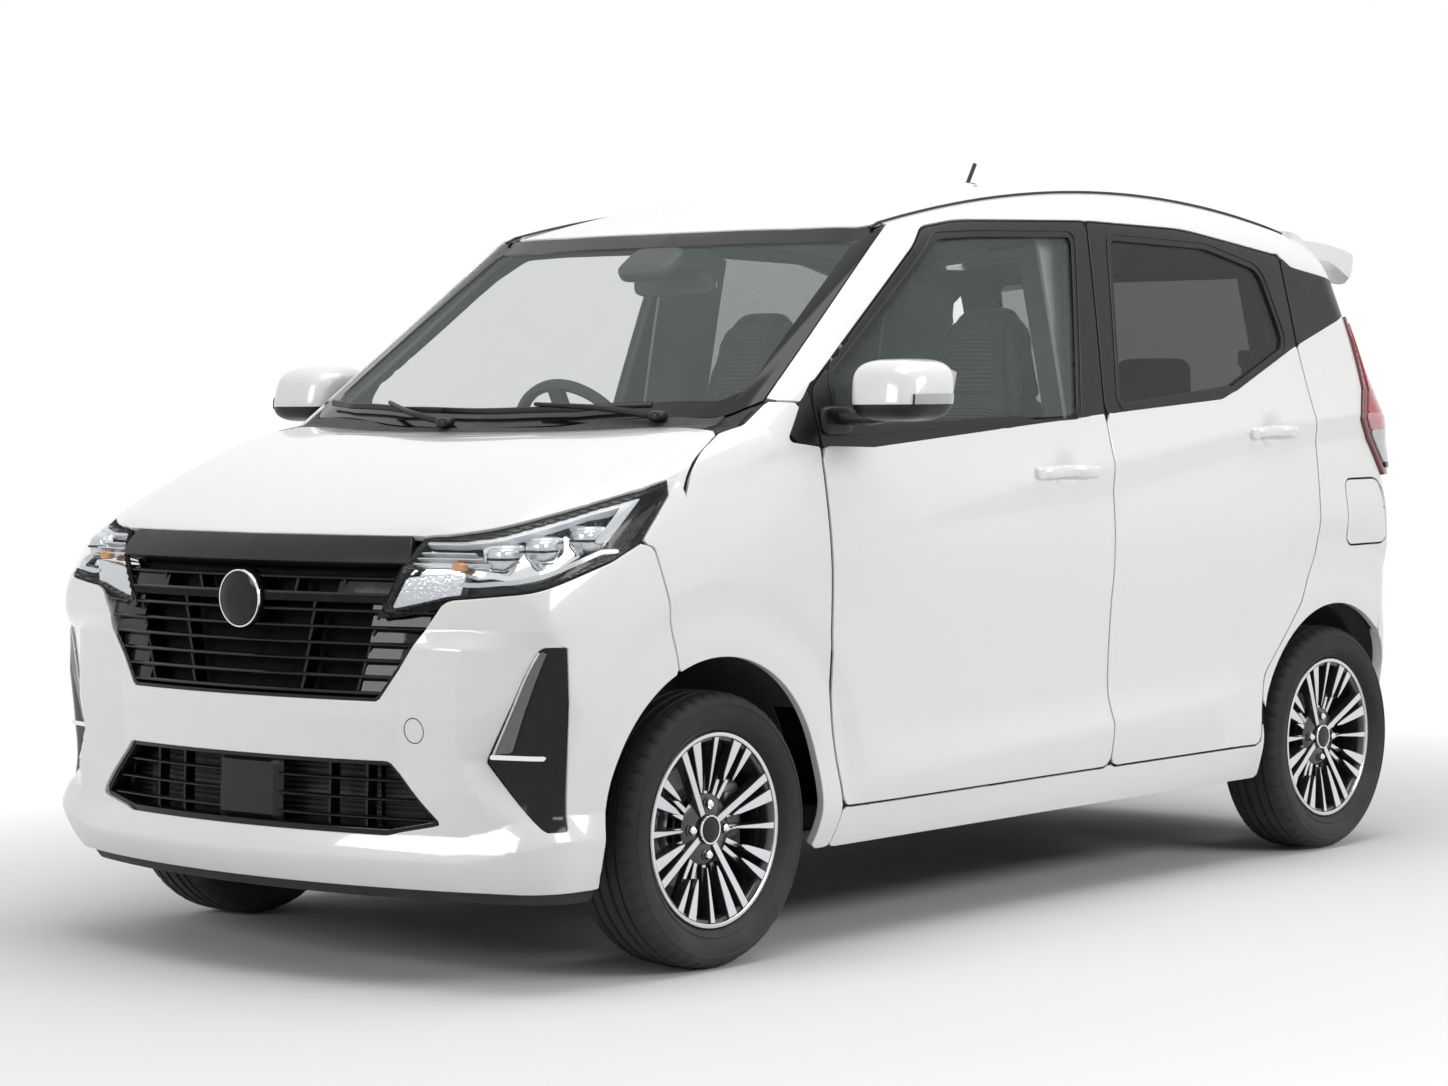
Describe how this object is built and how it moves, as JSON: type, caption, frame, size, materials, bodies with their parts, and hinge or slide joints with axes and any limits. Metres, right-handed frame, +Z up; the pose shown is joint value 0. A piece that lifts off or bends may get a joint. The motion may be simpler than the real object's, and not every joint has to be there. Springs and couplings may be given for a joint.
{
  "type": "kei car",
  "caption": "Small right-hand-drive passenger car with opening doors, bonnet and tailgate, steered front wheels and a hollow cabin.",
  "frame": {"origin": "on the ground, midway along and across the car", "axes": "+X forward, +Y to the car's left, +Z up"},
  "size_m": [3.395, 1.89, 1.7017],
  "materials": {
    "painted": "pearl white gloss paint",
    "black_trim": "gloss black plastic",
    "lamp_lens": "clear lamp lens",
    "red_lens": "red lamp lens",
    "glass": "green-tinted laminated glass",
    "side_glass": "green-tinted side glass",
    "dark_glass": "dark privacy glass",
    "underbody": "dark sealed sheet steel",
    "chassis": "black-coated steel",
    "cast": "cast aluminium",
    "radiator_metal": "dark core",
    "exhaust_steel": "dull steel",
    "tank_plastic": "moulded plastic",
    "dash_plastic": "grained dark plastic",
    "seat_cloth": "dark grey woven cloth",
    "alloy": "machined faces over black pockets",
    "tyre": "black rubber",
    "aerial": "black rod"
  },
  "bodies": {
    "body": {"antenna": "aerial", "cowl_firewall": "underbody", "dashboard": "dash_plastic", "engine_block": "cast", "exhaust": "exhaust_steel", "fenders": "painted", "floor_pan": "underbody", "front_bumper": "painted", "front_seats": "seat_cloth", "front_subframe": "chassis", "fuel_tank": "tank_plastic", "headlamps": "lamp_lens", "lamp_bezels": "black_trim", "lower_grille": "black_trim", "radiator": "radiator_metal", "rear_axle_beam": "chassis", "rear_bench": "seat_cloth", "rear_bumper": "painted", "roof": "painted", "side_frame_left": "painted", "side_frame_right": "painted", "tail_lamps": "red_lens", "upper_grille": "black_trim", "windscreen": "glass"},
    "door_fl": {"door_front_left": "painted", "door_front_glass_left": "side_glass", "mirror_left": "painted"},
    "door_fr": {"door_front_right": "painted", "door_front_glass_right": "side_glass", "mirror_right": "painted"},
    "door_rl": {"door_rear_left": "painted", "door_rear_glass_left": "dark_glass"},
    "door_rr": {"door_rear_right": "painted", "door_rear_glass_right": "dark_glass"},
    "bonnet": {"bonnet": "painted"},
    "tailgate": {"tailgate": "painted", "tailgate_glass": "dark_glass"},
    "fuel_flap": {"fuel_flap": "painted"},
    "steering_wheel": {"steering_wheel": "dash_plastic"},
    "knuckle_l": {"knuckle_left": "chassis"},
    "knuckle_r": {"knuckle_right": "chassis"},
    "wheel_fl": {"tyre_front_left": "tyre", "wheel_front_left": "alloy"},
    "wheel_fr": {"tyre_front_right": "tyre", "wheel_front_right": "alloy"},
    "wheel_rl": {"tyre_rear_left": "tyre", "wheel_rear_left": "alloy"},
    "wheel_rr": {"tyre_rear_right": "tyre", "wheel_rear_right": "alloy"}
  },
  "joints": [
    {"name": "door_front_left_hinge", "type": "hinge", "parent": "body", "child": "door_fl", "pos_m": [0.7275, 0.742, 0.7], "axis": [0, 0, -1], "range_deg": [0, 65]},
    {"name": "door_front_right_hinge", "type": "hinge", "parent": "body", "child": "door_fr", "pos_m": [0.7275, -0.742, 0.7], "axis": [0, 0, 1], "range_deg": [0, 65]},
    {"name": "door_rear_left_hinge", "type": "hinge", "parent": "body", "child": "door_rl", "pos_m": [-0.2995, 0.742, 0.7], "axis": [0, 0, -1], "range_deg": [0, 68]},
    {"name": "door_rear_right_hinge", "type": "hinge", "parent": "body", "child": "door_rr", "pos_m": [-0.2995, -0.742, 0.7], "axis": [0, 0, 1], "range_deg": [0, 68]},
    {"name": "bonnet_hinge", "type": "hinge", "parent": "body", "child": "bonnet", "pos_m": [0.966, 0, 1.086], "axis": [0, -1, 0], "range_deg": [0, 52]},
    {"name": "tailgate_hinge", "type": "hinge", "parent": "body", "child": "tailgate", "pos_m": [-1.403, 0, 1.566], "axis": [0, 1, 0], "range_deg": [0, 78]},
    {"name": "fuel_flap_hinge", "type": "hinge", "parent": "body", "child": "fuel_flap", "pos_m": [-1.334, 0.7425, 0.83], "axis": [0, 0, -1], "range_deg": [0, 80]},
    {"name": "steering", "type": "hinge", "parent": "body", "child": "steering_wheel", "pos_m": [0.295, -0.34, 1], "axis": [-0.891, 0, 0.454], "range_deg": [-578, 578]},
    {"name": "steer_left", "type": "hinge", "parent": "body", "child": "knuckle_l", "pos_m": [1.073, 0.583, 0.19], "axis": [0, -0.1688, 0.9857], "range_deg": [-34, 34]},
    {"name": "steer_right", "type": "hinge", "parent": "body", "child": "knuckle_r", "pos_m": [1.073, -0.583, 0.19], "axis": [0, 0.1688, 0.9857], "range_deg": [-34, 34]},
    {"name": "wheel_front_left_spin", "type": "hinge", "parent": "knuckle_l", "child": "wheel_fl", "pos_m": [1.073, 0.65, 0.275], "axis": [0, 1, 0], "continuous": true},
    {"name": "wheel_front_right_spin", "type": "hinge", "parent": "knuckle_r", "child": "wheel_fr", "pos_m": [1.073, -0.65, 0.275], "axis": [0, 1, 0], "continuous": true},
    {"name": "wheel_rear_left_spin", "type": "hinge", "parent": "body", "child": "wheel_rl", "pos_m": [-1.285, 0.645, 0.275], "axis": [0, 1, 0], "continuous": true},
    {"name": "wheel_rear_right_spin", "type": "hinge", "parent": "body", "child": "wheel_rr", "pos_m": [-1.285, -0.645, 0.275], "axis": [0, 1, 0], "continuous": true}
  ],
  "couplings": [
    {"joint": "steering", "follows": "steer_left", "ratio": 17},
    {"joint": "steer_right", "follows": "steer_left", "ratio": 1}
  ]
}
